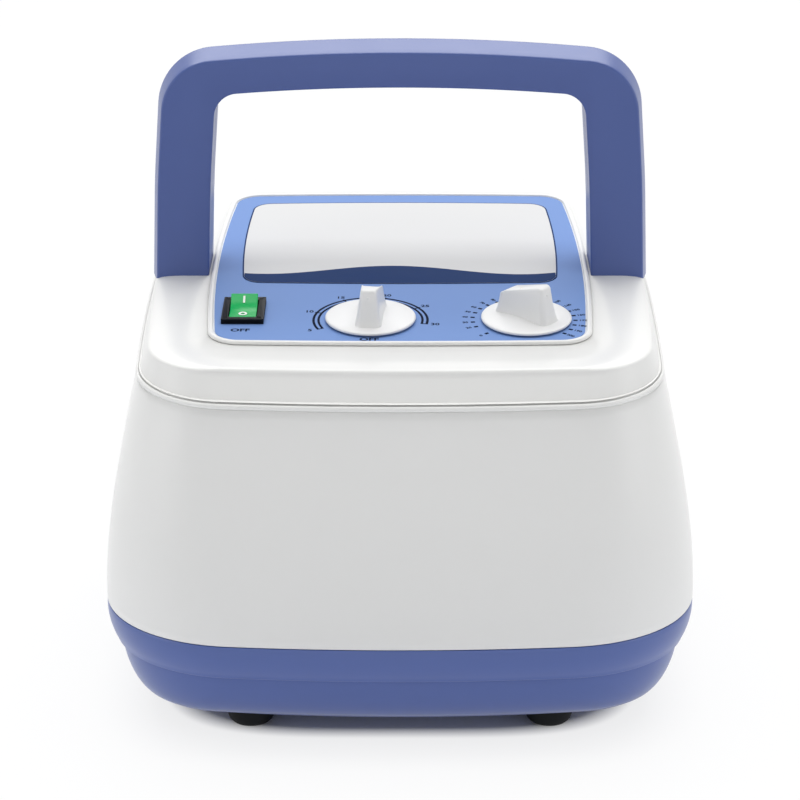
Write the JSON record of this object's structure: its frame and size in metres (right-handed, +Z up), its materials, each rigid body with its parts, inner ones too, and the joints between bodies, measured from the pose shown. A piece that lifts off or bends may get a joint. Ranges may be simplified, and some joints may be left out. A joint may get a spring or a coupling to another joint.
{
  "type": "compression therapy pump",
  "caption": "Table-top air pump for compression sleeves: tapered case, tilted panel with rocker switch and dials, arch handle, rear hose outlets.",
  "frame": {"origin": "on the floor plane under the rubber feet, at the middle of the case's footprint", "axes": "+Z up, +Y from the user's side to the back, +X to the user's right"},
  "size_m": [0.2168, 0.2335, 0.235],
  "materials": {
    "shell_white": "gloss",
    "shell_blue": "satin gloss",
    "knob_white": "satin",
    "label_blue": "satin print",
    "label_pale": "satin print",
    "switch_black": "satin",
    "switch_green": "gloss",
    "foot_rubber": "matte",
    "valve_rubber": "matte",
    "screw_steel": "plated",
    "plate_steel": "zinc plated",
    "cast_aluminium": "cast",
    "core_steel": "laminated",
    "coil_wrap": "taped winding",
    "brass_parts": "turned",
    "works_plastic": "moulded",
    "works_black": "moulded",
    "tube_clear": "silicone",
    "filter_felt": "felt",
    "lead_blue": "insulated wire"
  },
  "bodies": {
    "case": {"base_tray": "shell_blue", "main_housing": "shell_white", "top_lid": "shell_white", "control_panel": "shell_white", "panel_label": "label_blue", "info_label": "label_pale", "handle_front_shell": "shell_blue", "handle_rear_shell": "shell_blue", "case_screws": "screw_steel", "chassis_screws": "screw_steel", "foot_screws": "screw_steel", "lid_screws": "screw_steel", "handle_screws": "screw_steel", "rubber_feet": "foot_rubber", "switch_body": "switch_black", "switch_terminals": "brass_parts", "timer_nut": "plate_steel", "valve_nut": "plate_steel", "timer_case": "plate_steel", "bleed_valve_body": "brass_parts", "bleed_valve_barb": "brass_parts", "chassis_plate": "plate_steel", "vibration_mounts": "valve_rubber", "pump_frame": "cast_aluminium", "magnet_cores": "core_steel", "drive_coils": "coil_wrap", "diaphragms": "valve_rubber", "pump_heads": "works_black", "head_screws": "screw_steel", "intake_filters": "filter_felt", "pump_outlets": "works_black", "distributor_motor": "plate_steel", "distributor_cover": "works_plastic", "distributor_body": "works_plastic", "distributor_barbs": "brass_parts", "feed_tubes": "tube_clear", "outlet_tubes": "tube_clear", "bleed_tube": "tube_clear", "outlet_block": "works_plastic", "outlet_screws": "screw_steel", "power_inlet": "works_black", "inlet_pins": "brass_parts", "inlet_screws": "screw_steel", "fuse_holder": "works_black", "terminal_block": "works_plastic", "mains_leads": "lead_blue"},
    "rocker": {"switch_rocker": "switch_green"},
    "timer_dial": {"timer_knob": "knob_white", "timer_shaft": "screw_steel"},
    "pressure_dial": {"pressure_knob": "knob_white", "valve_needle": "brass_parts"},
    "armature": {"armature": "plate_steel"},
    "distributor_rotor": {"distributor_rotor": "works_black", "distributor_shaft": "screw_steel"}
  },
  "joints": [
    {"name": "rocker_tilt", "type": "hinge", "parent": "case", "child": "rocker", "pos_m": [-0.056, -0.04847, 0.14355], "axis": [1, 0, 0], "range_deg": [-20, 0]},
    {"name": "timer_turn", "type": "hinge", "parent": "case", "child": "timer_dial", "pos_m": [-0.0105, -0.05541, 0.14753], "axis": [0, -0.1219, 0.9925], "range_deg": [-280, 0]},
    {"name": "pressure_turn", "type": "hinge", "parent": "case", "child": "pressure_dial", "pos_m": [0.045, -0.05541, 0.14753], "axis": [0, -0.1219, 0.9925], "range_deg": [0, 264]},
    {"name": "armature_slide", "type": "slide", "parent": "case", "child": "armature", "axis": [1, 0, 0], "range_m": [-0.0012, 0.0012], "stiffness_N_per_m": 3000},
    {"name": "distributor_spin", "type": "hinge", "parent": "case", "child": "distributor_rotor", "pos_m": [0, 0.042, 0.052], "axis": [0, 0, 1], "continuous": true}
  ]
}
